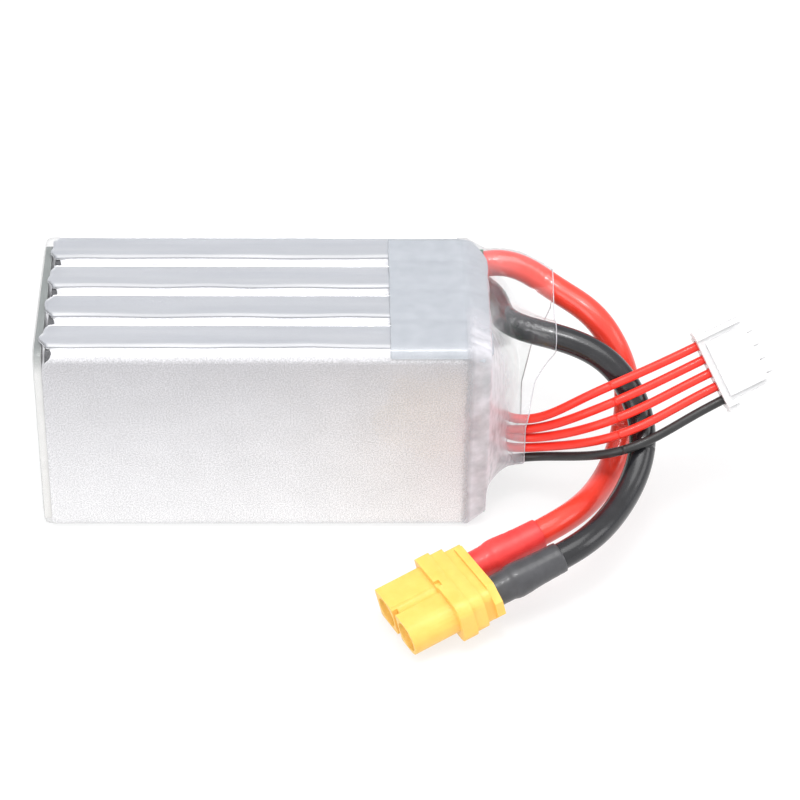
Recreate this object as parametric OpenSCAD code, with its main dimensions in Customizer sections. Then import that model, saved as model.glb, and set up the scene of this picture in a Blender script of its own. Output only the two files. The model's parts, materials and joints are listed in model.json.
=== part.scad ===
// Four-cell LiPo battery pack with main leads, power connector and balance plug.
// Millimetres. Origin: centre of the pack's bottom face. +X points to the lead end, +Z up.

/* [Cells] */
// Length of a cell's body, without its terminals
cell_len = 70; // [66:0.5:71]
// Height of a cell standing on its edge, with its folded seam
cell_h = 37.2; // [36:0.1:38]
// Thickness of one cell
cell_t = 8.1; // [7.9:0.05:8.3]
// Thickness of the pouch laminate
laminate_t = 0.15; // [0.1:0.01:0.2]
// Width of the folded side seam that lies on a cell's top
seam_w = 5.6; // [5:0.1:6]
// Thickness of the adhesive pads between cells
pad_t = 0.14; // [0.1:0.01:0.2]

/* [Wrap and boards] */
// Thickness of the clear shrink wrap
wrap_t = 0.12; // [0.08:0.01:0.2]
// Outer corner radius of the wrapped pack
corner_r = 1.8; // [1.2:0.1:2.2]
// Thickness of the tab board and of the end board
board_t = 1.2; // [0.8:0.1:1.4]
// Length of the tape on the pack's top
tape_len = 14; // [10:0.5:18]

/* [Main leads] */
// Outer diameter of the silicone insulation
lead_d = 4.5; // [4:0.1:4.6]
// Diameter of the stranded conductor
strand_d = 2.9; // [2.4:0.1:3]
// Distance between the two leads in the connector
lead_pitch = 7.2; // [7.2:0.05:7.4]

/* [Power connector] */
// Length of the mating block in front of the collar
block_len = 8.2; // [7:0.1:8.5]
// Width of the collar
collar_w = 15.9; // [15.5:0.1:16.2]
// Thickness of the collar
collar_t = 8.1; // [7.8:0.1:8.4]
// Bore of the contact sockets
socket_bore_d = 3.5; // [3.4:0.05:3.6]
// Length of the heat-shrink sleeves behind the housing
sleeve_len = 13; // [11:0.5:13]

/* [Balance lead] */
// Outer diameter of a balance wire
sense_d = 1.5; // [1.3:0.05:1.6]
// Pitch of the balance plug's contacts
plug_pitch = 2.5; // [2.5:0.02:2.54]
// Length of the balance plug
plug_len = 9.8; // [9.5:0.1:10.5]
// Thickness of the balance plug
plug_t = 5.75; // [5.6:0.05:6]

/* [Hidden] */

cell_count = 4;
gap = 0.02;
cell_pitch = cell_t + pad_t + gap;
pack_t = cell_count * cell_t + (cell_count - 1) * (pad_t + gap) + 2 * (wrap_t + gap);
pack_h = cell_h + 0.36 + 2 * (wrap_t + gap);
floor_z = wrap_t + gap;
end_x = cell_len / 2;
seam_t = 0.3;
body_h = cell_h - seam_t;
terrace_len = 1.5;
tab_w = 8;
tab_t = 0.2;
tab_root = 3.8;
tab_z = [8, 23];
insulator_t = 0.4;
insulator_x = end_x + terrace_len + 0.3;
board_x = insulator_x + insulator_t + gap;
board_face = board_x + board_t;
board_z = [2.6, 35.4];
hood_len = 4.6;

lead_r = lead_d / 2;
strand_r = strand_d / 2;
sense_r = sense_d / 2;
sense_strand_r = 0.38;
sense_count = 5;
joint_gap = 0.05;
rim = 0.8;
fine = 64;
lead_sides = 16;
sense_sides = 10;

// ---- vectors and frames ----

function unit(v) = v / norm(v);
function square_to(v, t) = unit(v - (v * t) * t);
function last(list) = list[len(list) - 1];

// Moves children into a frame given by its origin, its X direction and its Z direction.
module in_frame(o, x, z) {
  y = cross(z, x);
  multmatrix([[x.x, y.x, z.x, o.x], [x.y, y.y, z.y, o.y], [x.z, y.z, z.z, o.z], [0, 0, 0, 1]]) children();
}

// ---- smooth paths: cubic spans through way points, with given directions at both ends ----

function hermite(p, m, q, n, s) =
  (2 * s ^ 3 - 3 * s ^ 2 + 1) * p + (s ^ 3 - 2 * s ^ 2 + s) * m
  + (3 * s ^ 2 - 2 * s ^ 3) * q + (s ^ 3 - s ^ 2) * n;
function slope(pts, i, t0, t1) =
  i == 0 ? t0 * norm(pts[1] - pts[0])
  : i == len(pts) - 1 ? t1 * norm(pts[i] - pts[i - 1])
  : (pts[i + 1] - pts[i - 1]) / 2;
function path_through(pts, t0, t1, steps) = concat(
  [for (i = [0:len(pts) - 2], k = [0:steps - 1])
    hermite(pts[i], slope(pts, i, t0, t1), pts[i + 1], slope(pts, i + 1, t0, t1), k / steps)],
  [last(pts)]);
function tangents(path, t0, t1) = [for (i = [0:len(path) - 1])
  i == 0 ? t0 : i == len(path) - 1 ? t1 : unit(path[i + 1] - path[i - 1])];

// ---- wires: rings swept along a path ----
// A ring is [path index, offset along the tangent, radius].

function straight_rings(from, to, r) = [for (i = [from:(to > from ? 1 : -1):to]) [i, 0, r]];
function dome_rings(i, side, ball_r, r0, r1, steps = 4) = [for (k = [0:steps])
  let(rho = r0 + (r1 - r0) * k / steps) [i, side * sqrt(max(0, ball_r ^ 2 - rho ^ 2)), rho]];
// Wall profile at an end, from the outside to the inside: "ball", "cup" or "flat".
function end_rings(kind, i, side, r, r_in) =
  kind == "ball" ? dome_rings(i, side, r, r * 0.999, r_in)
  : kind == "cup" ? concat([[i, -side * rim * r, r]],
      dome_rings(i, -side, r + joint_gap, sqrt((r + joint_gap) ^ 2 - (rim * r) ^ 2), r_in))
  : [[i, 0, r], [i, 0, r_in]];
function core_rings(kind, i, side, r, core_r) =
  kind == "ball" ? dome_rings(i, side, r, core_r, core_r * 0.3)
  : kind == "cup" ? dome_rings(i, -side, r + joint_gap, core_r, core_r * 0.3)
  : [[i, 0, core_r], [i, side * kind, core_r]];

module swept(path, t0, t1, rings, sides, closed) {
  t = tangents(path, t0, t1);
  first_side = square_to(abs(t0.z) < 0.8 ? [0, 0, 1] : [1, 0, 0], t0);
  s = [for (i = 0, v = first_side; i < len(path); i = i + 1, v = i < len(path) ? square_to(v, t[i]) : v) v];
  points = [for (ring = rings, k = [0:sides - 1])
    let(i = ring[0], angle = 360 * k / sides)
      path[i] + ring[1] * t[i] + ring[2] * (cos(angle) * s[i] + sin(angle) * cross(t[i], s[i]))];
  n = len(rings);
  quads = [for (j = [0:n - (closed ? 1 : 2)], k = [0:sides - 1])
    let(a = j * sides, b = ((j + 1) % n) * sides, k2 = (k + 1) % sides)
      [a + k, b + k, b + k2, a + k2]];
  caps = closed ? [] : [[for (k = [0:sides - 1]) k], [for (k = [sides - 1:-1:0]) (n - 1) * sides + k]];
  polyhedron(points = points, faces = concat(quads, caps), convexity = 8);
}

// Insulation: a tube with a bore for the strands.
module insulation(path, t0, t1, r, r_in, ends, sides) {
  n = len(path) - 1;
  outer = straight_rings(1, n - 1, r);
  inner = straight_rings(n - 1, 1, r_in);
  start = end_rings(ends[0], 0, -1, r, r_in);
  finish = end_rings(ends[1], n, 1, r, r_in);
  back = [for (j = [len(start) - 1:-1:0]) start[j]];
  swept(path, t0, t1, concat(outer, finish, inner, back), sides, true);
}

// Strands: one solid rod for the twisted bundle. A number as an end is how far it sticks out there.
module strands(path, t0, t1, r, core_r, ends, sides) {
  n = len(path) - 1;
  start = core_rings(ends[0], 0, -1, r, core_r);
  finish = core_rings(ends[1], n, 1, r, core_r);
  back = [for (j = [len(start) - 1:-1:0]) start[j]];
  swept(path, t0, t1, concat(back, straight_rings(1, n - 1, core_r), finish), sides, false);
}

// ---- where the leads run ----

// Power connector: centre of its mating face, width direction and mating direction
plug_yaw = 206.2;
plug_dip = 12.4;
mate_dir = [cos(plug_dip) * cos(plug_yaw), cos(plug_dip) * sin(plug_yaw), -sin(plug_dip)];
width_dir = square_to([0.4245, -0.903, 0.077], mate_dir);
mate_face = [22.9, -44.7, 3.6];
flex_back = 30.8;
cup_back = 21;
function in_connector(side, back) = mate_face + side * lead_pitch / 2 * width_dir - back * mate_dir;

// Points where the lead bodies meet: past the film's edge, and behind the sleeves
black_bend = [51, -0.5, 28.5];
red_bend = [51.2, 10.5, 30.2];
black_flex = in_connector(1, flex_back);
red_flex = in_connector(-1, flex_back);

// Where the insulation begins at the board: black runs along it, red comes straight out of it
black_pad = [board_face + 2.6, 11, 28.6];
red_pad = [board_face, 13.6, 33.8];

black_out = unit([0.95, -0.3, -0.1]);
black_root_path = path_through(
  [black_pad, black_pad + [0.6, -7.4, 0.2], black_bend], [0, -1, 0], black_out, 3);
black_path = path_through(
  [black_bend, [60.2, -4.4, 25.3], [65, -11.2, 17.2], [61.5, -22, 11.8], black_flex], black_out, mate_dir, 6);
black_tail_path = path_through([black_flex, in_connector(1, cup_back)], mate_dir, mate_dir, 4);

red_out = unit([0.75, -0.65, -0.15]);
red_root_path = path_through(
  [red_pad + [0.9, 0, 0], red_pad + [5.6, 0, 0.1], red_bend], [1, 0, 0], red_out, 2);
red_path = path_through(
  [red_bend, [58.4, 5.1, 27.5], [63.2, -1, 17.5], [59.5, -12.5, 8.6], red_flex], red_out, mate_dir, 6);
red_tail_path = path_through([red_flex, in_connector(-1, cup_back)], mate_dir, mate_dir, 4);

// Balance plug: centre of its wire face, width direction and mating direction
sense_mate = unit([0.898, 0.276, 0.342]);
sense_width = square_to([0.44, -0.56, -0.7], sense_mate);
sense_face = [76, -6.3, 25.5];
sense_flex = 1.8;
function in_plug(i, along) = sense_face + (i - 2) * plug_pitch * sense_width + along * sense_mate;

// The five wires leave the film one above the other
exit_point = [44.8, -8, 12.5];
exit_pitch = 1.95;
function wire_exit(i) = exit_point + [0, 0, (2 - i) * exit_pitch];
// Way point halfway, where the ribbon arches in front of the main leads
function wire_arch(i) = (wire_exit(i) + in_plug(i, -sense_flex)) / 2 + [-1.9 + 0.55 * i, -4.3 - 0.95 * i, 2.2];
exit_out = unit([1, -0.2, 0.25]);
function wire_path(i) =
  path_through([wire_exit(i), wire_arch(i), in_plug(i, -sense_flex)], exit_out, sense_mate, 8);
// Inside the film every wire comes down the board in its own lane, then turns out to its exit
function wire_pad(i) = [board_face + 1.1, -4.4 - 1.8 * i, wire_exit(i).z + 6];
function wire_root_path(i) = path_through(
  [wire_pad(i), wire_pad(i) + [0.5, 0, -4], wire_exit(i)], [0, 0, -1], exit_out, 3);
function wire_tail_path(i) = path_through([in_plug(i, -sense_flex), in_plug(i, 1.6)], sense_mate, sense_mate, 3);

// ---- pack ----

function cell_y(i) = (i - (cell_count - 1) / 2) * cell_pitch;

// Rectangle with round corners, its lower edge on the X axis; top and bottom corners differ.
module rounded_section(w, h, r_low, r_top, facets = fine) {
  for (side = [-1, 1]) {
    translate([side * (w / 2 - r_low), r_low]) circle(r = r_low, $fn = facets);
    translate([side * (w / 2 - r_top), h - r_top]) circle(r = r_top, $fn = facets);
  }
  translate([-w / 2, r_low]) square([w, h - r_low - r_top]);
  translate([-w / 2 + r_low, 0]) square([w - 2 * r_low, h / 2]);
  translate([-w / 2 + r_top, h / 2]) square([w - 2 * r_top, h / 2]);
}

// Extrudes a section drawn in Y and Z along +X.
module along_x(x, len) {
  translate([x, 0, 0]) rotate([90, 0, 90]) linear_extrude(len) children();
}

// Slot that clears one tab; z0 is the height of the caller's own zero
module tab_slot(z, x, len, z0) {
  translate([x, -tab_t / 2 - gap, z - gap - z0]) cube([len, tab_t + 2 * gap, tab_w + 2 * gap]);
}

module cell_pouch(i) {
  edge_r = 1.7;
  inner_r = edge_r - laminate_t;
  seam_cut = 1.4;
  terrace_z = 4;
  translate([0, cell_y(i), floor_z]) difference() {
    union() {
      difference() {
        along_x(-end_x, cell_len) rounded_section(cell_t, body_h, edge_r, edge_r);
        along_x(-end_x + laminate_t, cell_len - 2 * laminate_t) translate([0, laminate_t])
          rounded_section(cell_t - 2 * laminate_t, body_h - 2 * laminate_t, inner_r, inner_r);
      }
      // Folded side seam: a tongue on top, with cut corners at its closed end
      translate([0, cell_t / 2 - seam_w - 1, body_h]) linear_extrude(seam_t)
        polygon([[-end_x + 2.6, seam_cut], [-end_x + 2.6 + seam_cut, 0], [end_x - 1, 0], [end_x - 1, seam_w],
          [-end_x + 2.6 + seam_cut, seam_w], [-end_x + 2.6, seam_w - seam_cut]]);
      // Sealed end through which the tabs pass
      translate([end_x - 0.01, -0.35, terrace_z]) cube([terrace_len, 0.7, body_h - 2 * terrace_z + 1]);
    }
    for (z = tab_z) tab_slot(z, end_x - 1, terrace_len + 2, floor_z);
  }
}

module electrode_stack(i) {
  inset = laminate_t + 0.15;
  translate([0, cell_y(i), floor_z + inset])
    difference() {
      along_x(-end_x + inset + 0.3, cell_len - 2 * inset - 1.6)
        rounded_section(cell_t - 2 * inset, body_h - 2 * inset, 1.4, 1.4);
      for (z = tab_z) tab_slot(z, end_x - tab_root - 0.2, tab_root, floor_z + inset);
    }
}

// A tab runs from the stack through the terrace and the board, and folds flat on the board's face.
module cell_tab(i, slot, fold) {
  leg = 3;
  reach = board_face + gap - (end_x - tab_root);
  translate([end_x - tab_root, cell_y(i) - tab_t / 2, tab_z[slot]]) {
    cube([reach + tab_t, tab_t, tab_w]);
    translate([reach, fold > 0 ? 0 : tab_t - leg, 0]) cube([tab_t, leg, tab_w]);
  }
}

module cell_adhesive_pads() color("white")
  for (i = [0:cell_count - 2])
    translate([-end_x + 6, cell_y(i) + cell_t / 2 + gap / 2, 6]) cube([cell_len - 12, pad_t, cell_h - 12]);

// Plate across the tab end with a slot for every tab
module slotted_plate(x, t, inset) {
  difference() {
    translate([x, -pack_t / 2 + inset, board_z[0]]) cube([t, pack_t - 2 * inset, board_z[1] - board_z[0]]);
    for (i = [0:cell_count - 1], z = tab_z)
      translate([x - 1, cell_y(i) - 0.3, z - 0.3]) cube([t + 2, 0.6, tab_w + 0.6]);
  }
}

module board_insulator() color([0.93, 0.9, 0.8]) slotted_plate(insulator_x, insulator_t, 1.2);

module tab_board() color([0.1, 0.42, 0.2]) slotted_plate(board_x, board_t, 1.2);

module rear_end_board() color([0.93, 0.91, 0.84])
  along_x(-end_x - gap - board_t, board_t)
    translate([0, floor_z + 0.6]) rounded_section(pack_t - 1.6, cell_h - 1.4, 1.5, 2);

module terminal_tape() color([0.62, 0.64, 0.68]) {
  tape_t = 0.1;
  tape_w = pack_t - 2 * corner_r - 0.8;
  top_z = floor_z + cell_h + 0.05;
  translate([end_x + 1 - tape_len, -tape_w / 2, top_z]) cube([tape_len, tape_w, tape_t]);
  translate([end_x + 1 - 0.05, -tape_w / 2, top_z]) rotate([0, 24, 0]) cube([2.7, tape_w, tape_t]);
}

module clear_shrink_wrap() color([0.85, 0.88, 0.92, 0.35]) {
  sleeve_back = -end_x - gap - board_t - wrap_t - 0.1;
  sleeve_front = board_face + 0.2;
  inner_w = pack_t - 2 * wrap_t;
  inner_h = pack_h - 2 * wrap_t;
  difference() {
    along_x(sleeve_back, sleeve_front - sleeve_back) rounded_section(pack_t, pack_h, corner_r, corner_r);
    along_x(sleeve_back + wrap_t, sleeve_front - sleeve_back) translate([0, wrap_t])
      rounded_section(inner_w, inner_h, corner_r - wrap_t, corner_r - wrap_t);
    // The film shrinks round the closed end and leaves an opening
    along_x(sleeve_back - 1, 2) translate([0, 7]) rounded_section(pack_t - 13, pack_h - 14, 4, 4);
  }
  // Hood that narrows over the terminals and stays open for the leads
  difference() {
    hood(sleeve_front - 0.01, 0);
    hood(sleeve_front - 0.02, wrap_t);
  }
}

module hood(x, inset) {
  taper = 0.4;
  drop = 1.2;
  r = corner_r - inset;
  hull() {
    along_x(x, 0.01) translate([0, inset])
      rounded_section(pack_t - 2 * inset, pack_h - 2 * inset, r, r, 32);
    along_x(x + hood_len + (inset > 0 ? 0.1 : 0), 0.01) translate([0, taper + inset])
      rounded_section(pack_t - 2 * (taper + inset), pack_h - taper - drop - 2 * inset, r, r, 32);
  }
}

// Solder between the board's pads and the bared strands of both main leads
module lead_solder_joints() color([0.78, 0.79, 0.8]) {
  over_tab = tab_t + 3 * gap;
  difference() {
    translate([board_face + over_tab, black_pad.y + 0.2, black_pad.z - 2.4]) cube([3, 3, 4.8]);
    translate(black_pad) rotate([-90, 0, 0]) cylinder(r = strand_r + gap, h = 5, $fn = fine);
  }
  difference() {
    translate(red_pad + [gap, 0, 0]) rotate([0, 90, 0]) cylinder(r = 2.2, h = 0.8, $fn = fine);
    translate(red_pad - [1, 0, 0]) rotate([0, 90, 0]) cylinder(r = strand_r + gap, h = 5, $fn = fine);
  }
}

// Solder between the board's sense pads and the bared ends of the balance wires
module balance_solder_joints() color([0.78, 0.79, 0.8])
  for (i = [0:sense_count - 1]) difference() {
    translate([board_face + tab_t + 3 * gap, wire_pad(i).y - 0.65, wire_pad(i).z + 0.05]) cube([1.3, 1.3, 1]);
    translate(wire_pad(i)) cylinder(r = sense_strand_r + gap, h = 3, $fn = fine);
  }

// ---- main leads ----

bore_r = strand_r + 0.04;
module lead(path, t0, t1, ends) insulation(path, t0, t1, lead_r, bore_r, ends, lead_sides);
module core(path, t0, t1, ends) strands(path, t0, t1, lead_r, strand_r, ends, lead_sides);

module black_lead_root() color([0.1, 0.1, 0.1]) lead(black_root_path, [0, -1, 0], black_out, ["flat", "cup"]);
module black_lead() color([0.1, 0.1, 0.1]) lead(black_path, black_out, mate_dir, ["ball", "ball"]);
module black_lead_tail() color([0.1, 0.1, 0.1]) lead(black_tail_path, mate_dir, mate_dir, ["cup", "flat"]);
module red_lead_root() color([0.9, 0.15, 0.1]) lead(red_root_path, [1, 0, 0], red_out, ["flat", "cup"]);
module red_lead() color([0.9, 0.15, 0.1]) lead(red_path, red_out, mate_dir, ["ball", "ball"]);
module red_lead_tail() color([0.9, 0.15, 0.1]) lead(red_tail_path, mate_dir, mate_dir, ["cup", "flat"]);

cup_reach = 3.5;
module black_strands_root() color("silver") core(black_root_path, [0, -1, 0], black_out, [3, "cup"]);
module black_strands() color("silver") core(black_path, black_out, mate_dir, ["ball", "ball"]);
module black_strands_tail() color("silver") core(black_tail_path, mate_dir, mate_dir, ["cup", cup_reach]);
module red_strands_root() color("silver") core(red_root_path, [1, 0, 0], red_out, [0.6, "cup"]);
module red_strands() color("silver") core(red_path, red_out, mate_dir, ["ball", "ball"]);
module red_strands_tail() color("silver") core(red_tail_path, mate_dir, mate_dir, ["cup", cup_reach]);

// ---- power connector, drawn with its mating face at Z = 0 and its body below ----

socket_r = 2.35;
retainer_r = 2.7;
mouth_r = 2.55;
block_w = 13.7;
block_t = 6;
collar_end = block_len + 2.5;
panel_end = collar_end + 2.3;
lip_len = 1.4;
cup_end = 19.8;
housing_len = 16;
retainer_z = 10;
module at_connector() in_frame(mate_face, width_dir, mate_dir) children();
module both_sides() for (side = [-1, 1]) translate([side * lead_pitch / 2, 0, 0]) children();

// Rectangle with its own corner radius at each end of the width
module end_rounded(w, t, r_pos, r_neg) {
  intersection_for(s = [1, -1]) {
    r = s > 0 ? r_pos : r_neg;
    union() {
      for (q = [-1, 1]) translate([s * (w / 2 - r), q * (t / 2 - r)]) circle(r = r, $fn = fine);
      translate([s > 0 ? -w / 2 : -w / 2 + r, -t / 2]) square([w - r, t]);
      translate([-w / 2, -t / 2 + r]) square([w, t - 2 * r]);
    }
  }
}

// Mating block outline: two barrels with a shallow groove between them. The negative contact's
// end is round and the positive contact's end is square, which keys the connector.
module block_outline() {
  groove_r = 1.3;
  groove_depth = 0.5;
  difference() {
    end_rounded(block_w, block_t, block_t / 2 - 0.01, 0.5);
    for (s = [-1, 1]) translate([0, s * (block_t / 2 + groove_r - groove_depth)]) circle(r = groove_r, $fn = fine);
  }
}

// Outline of the flared rear lip: a rectangle with cut corners
module cut_outline(w, t, cut) {
  x = w / 2;
  y = t / 2;
  polygon([[x, cut - y], [x, y - cut], [x - cut, y], [cut - x, y], [-x, y - cut], [-x, cut - y], [cut - x, -y],
    [x - cut, -y]]);
}

// Slab of the housing between two distances behind the mating face
module slab(front, rear) {
  translate([0, 0, -rear]) linear_extrude(rear - front) children();
}

module power_connector_housing() color([0.96, 0.75, 0.12]) at_connector() difference() {
  union() {
    slab(0, block_len) block_outline();
    slab(block_len, collar_end) end_rounded(collar_w, collar_t, 2.4, 0.8);
    slab(collar_end, panel_end) end_rounded(collar_w - 0.9, collar_t - 0.7, 2, 0.6);
    slab(panel_end, housing_len) end_rounded(collar_w - 2, collar_t - 1.5, 1.6, 0.6);
    slab(housing_len - lip_len, housing_len) cut_outline(collar_w, collar_t - 0.5, 2.4);
  }
  both_sides() {
    slab(-1, retainer_z) circle(r = socket_r + gap, $fn = fine);
    slab(-1, 0.8) circle(r = mouth_r, $fn = fine);
    slab(retainer_z - gap, housing_len + 1) circle(r = retainer_r + 0.05, $fn = fine);
  }
  // Notch between the bores at the front, and the notch in the collar's front edge
  slab(-1, 1) square([1.2, collar_t], center = true);
  slab(block_len - 1, block_len + 0.9) translate([0, collar_t / 2]) square([1.4, 1.2], center = true);
}

module contact_socket(side) at_connector() translate([side * lead_pitch / 2, 0, 0]) difference() {
  union() {
    translate([0, 0, -cup_end]) cylinder(r = socket_r, h = cup_end - 1, $fn = fine);
    translate([0, 0, -retainer_z - 1.4]) cylinder(r = retainer_r, h = 1.4, $fn = fine);
  }
  translate([0, 0, -10.8]) cylinder(r = socket_bore_d / 2, h = 11, $fn = fine);
  translate([0, 0, -cup_end - 1]) cylinder(r = 1.95, h = 6, $fn = fine);
}

module connector_solder() color([0.78, 0.79, 0.8]) at_connector() both_sides()
  difference() {
    translate([0, 0, -cup_end + 0.3]) cylinder(r = 1.93, h = 4.4, $fn = fine);
    translate([0, 0, -cup_end - 1]) cylinder(r = strand_r + gap, h = 3.4, $fn = fine);
  }

// Heat-shrink sleeve: tight on the solder cup, swollen over its end, tight on the insulation
module solder_sleeve(side) at_connector() translate([side * lead_pitch / 2, 0, 0])
  rotate_extrude($fn = fine) {
    wall = 0.28;
    cup = socket_r + 0.02;
    lead = lead_r + 0.03;
    top = -housing_len + 1.5;
    low = -housing_len - sleeve_len;
    polygon([[cup, top], [cup, -cup_end - 0.2], [lead, -cup_end - 1.2], [lead, low],
      [lead + wall, low], [lead + wall + 0.2, low + 4], [cup + wall + 0.35, -cup_end - 1.6],
      [cup + wall + 0.1, -cup_end + 1], [cup + wall, -housing_len - 0.1], [cup + wall, top]]);
  }

// ---- balance lead ----

sense_bore_r = sense_strand_r + 0.03;
module sense_wire(path, t0, t1, ends) insulation(path, t0, t1, sense_r, sense_bore_r, ends, sense_sides);
module sense_core(path, t0, t1, ends) strands(path, t0, t1, sense_r, sense_strand_r, ends, 8);
module wire_root(i) sense_wire(wire_root_path(i), [0, 0, -1], exit_out, ["flat", "cup"]);
module wire_span(i) sense_wire(wire_path(i), exit_out, sense_mate, ["ball", "ball"]);
module wire_tail(i) sense_wire(wire_tail_path(i), sense_mate, sense_mate, ["cup", "flat"]);

module balance_wire_roots_red() color([0.9, 0.15, 0.1]) for (i = [0:sense_count - 2]) wire_root(i);
module balance_wire_root_black() color([0.1, 0.1, 0.1]) wire_root(sense_count - 1);
module balance_wire_tails_red() color([0.9, 0.15, 0.1]) for (i = [0:sense_count - 2]) wire_tail(i);
module balance_wire_tail_black() color([0.1, 0.1, 0.1]) wire_tail(sense_count - 1);
module balance_strands_root() color("silver") for (i = [0:sense_count - 1])
  sense_core(wire_root_path(i), [0, 0, -1], exit_out, [0.8, "cup"]);
module balance_strands() color("silver") for (i = [0:sense_count - 1])
  sense_core(wire_path(i), exit_out, sense_mate, ["ball", "ball"]);
module balance_strands_tail() color("silver") for (i = [0:sense_count - 1])
  sense_core(wire_tail_path(i), sense_mate, sense_mate, ["cup", 0.8]);

// Balance plug, drawn with its wire face at Z = 0 and its mating face up
cavity = 1.9;
module at_plug() in_frame(sense_face, sense_width, sense_mate) children();
module each_way() for (i = [0:sense_count - 1]) translate([(i - 2) * plug_pitch, 0, 0]) children();

module balance_plug_housing() color([0.95, 0.95, 0.94]) at_plug() {
  body_w = 13;
  ear_w = 14.8;
  difference() {
    union() {
      translate([-body_w / 2, -plug_t / 2 + 0.6, 0]) cube([body_w, plug_t - 1.2, plug_len]);
      // Raised panels on both broad faces, with the side rails beside them
      translate([-body_w / 2 + 1.6, -plug_t / 2, 1.2]) cube([body_w - 3.2, plug_t, plug_len - 3.2]);
      for (s = [-1, 1]) translate([s * (body_w / 2 - 0.4) - 0.4, -plug_t / 2, 0]) cube([0.8, plug_t, plug_len - 1.6]);
      // Ears at the wire end
      translate([-ear_w / 2, -plug_t / 2 + 0.8, 0]) cube([ear_w, plug_t - 2.2, 2]);
    }
    each_way() {
      translate([-cavity / 2, -cavity / 2, -1]) cube([cavity, cavity, plug_len - 0.2]);
      translate([-0.45, -0.45, plug_len - 2]) cube([0.9, 0.9, 3]);
    }
    // Castellated mating edge
    for (i = [0:sense_count - 2]) translate([(i - 1.5) * plug_pitch - 0.45, -plug_t, plug_len - 1.5])
      cube([0.9, 2 * plug_t, 2]);
  }
}

// Crimp contacts: a box spring at the mating end and a crimp barrel on the bared strands
module balance_contacts() color([0.85, 0.78, 0.55]) at_plug() each_way() difference() {
  union() {
    translate([-0.85, -0.85, 4]) cube([1.7, 1.7, 3.8]);
    translate([0, 0, 1.7]) cylinder(r = 0.7, h = 2.4, $fn = fine);
  }
  translate([-0.6, -0.6, 4.3]) cube([1.2, 1.2, 4]);
  translate([0, 0, 1]) cylinder(r = sense_strand_r + gap, h = 2.4, $fn = fine);
}

// ---- nodes ----

silver_foil = [0.75, 0.76, 0.78];
stack_grey = [0.25, 0.25, 0.27];
tab_nickel = [0.8, 0.8, 0.78];
gold = [0.85, 0.65, 0.25];

color(silver_foil) cell_pouch(0);  // cell_1_pouch
color(silver_foil) cell_pouch(1);  // cell_2_pouch
color(silver_foil) cell_pouch(2);  // cell_3_pouch
color(silver_foil) cell_pouch(3);  // cell_4_pouch
color(stack_grey) electrode_stack(0);  // cell_1_electrode_stack
color(stack_grey) electrode_stack(1);  // cell_2_electrode_stack
color(stack_grey) electrode_stack(2);  // cell_3_electrode_stack
color(stack_grey) electrode_stack(3);  // cell_4_electrode_stack
color("lightgrey") cell_tab(0, 1, -1);  // cell_1_positive_tab
color("lightgrey") cell_tab(1, 0, -1);  // cell_2_positive_tab
color("lightgrey") cell_tab(2, 1, -1);  // cell_3_positive_tab
color("lightgrey") cell_tab(3, 0, -1);  // cell_4_positive_tab
color(tab_nickel) cell_tab(0, 0, 1);  // cell_1_negative_tab
color(tab_nickel) cell_tab(1, 1, 1);  // cell_2_negative_tab
color(tab_nickel) cell_tab(2, 0, 1);  // cell_3_negative_tab
color(tab_nickel) cell_tab(3, 1, 1);  // cell_4_negative_tab
cell_adhesive_pads();
board_insulator();
tab_board();
rear_end_board();
terminal_tape();
clear_shrink_wrap();
lead_solder_joints();
balance_solder_joints();
black_lead_root();
black_lead();
black_lead_tail();
red_lead_root();
red_lead();
red_lead_tail();
black_strands_root();
black_strands();
black_strands_tail();
red_strands_root();
red_strands();
red_strands_tail();
color([0.08, 0.08, 0.08]) solder_sleeve(1);  // black_solder_sleeve
color([0.88, 0.18, 0.12]) solder_sleeve(-1);  // red_solder_sleeve
connector_solder();
power_connector_housing();
color(gold) contact_socket(1);  // negative_socket
color(gold) contact_socket(-1);  // positive_socket
balance_wire_roots_red();
balance_wire_root_black();
color([0.9, 0.15, 0.1]) wire_span(0);  // balance_wire_1
color([0.9, 0.15, 0.1]) wire_span(1);  // balance_wire_2
color([0.9, 0.15, 0.1]) wire_span(2);  // balance_wire_3
color([0.9, 0.15, 0.1]) wire_span(3);  // balance_wire_4
color([0.1, 0.1, 0.1]) wire_span(4);  // balance_wire_5
balance_strands_root();
balance_strands();
balance_strands_tail();
balance_wire_tails_red();
balance_wire_tail_black();
balance_plug_housing();
balance_contacts();
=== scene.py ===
"""Four-cell LiPo pack: the looks, in the CAD frame and in metres.

Every piece is placed from the CAD nodes, joints and mounts. Lengths are written in millimetres times MM.
"""

import json
import math

import bmesh
import bpy
import numpy as np
from mathutils import Matrix, Vector, noise


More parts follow.
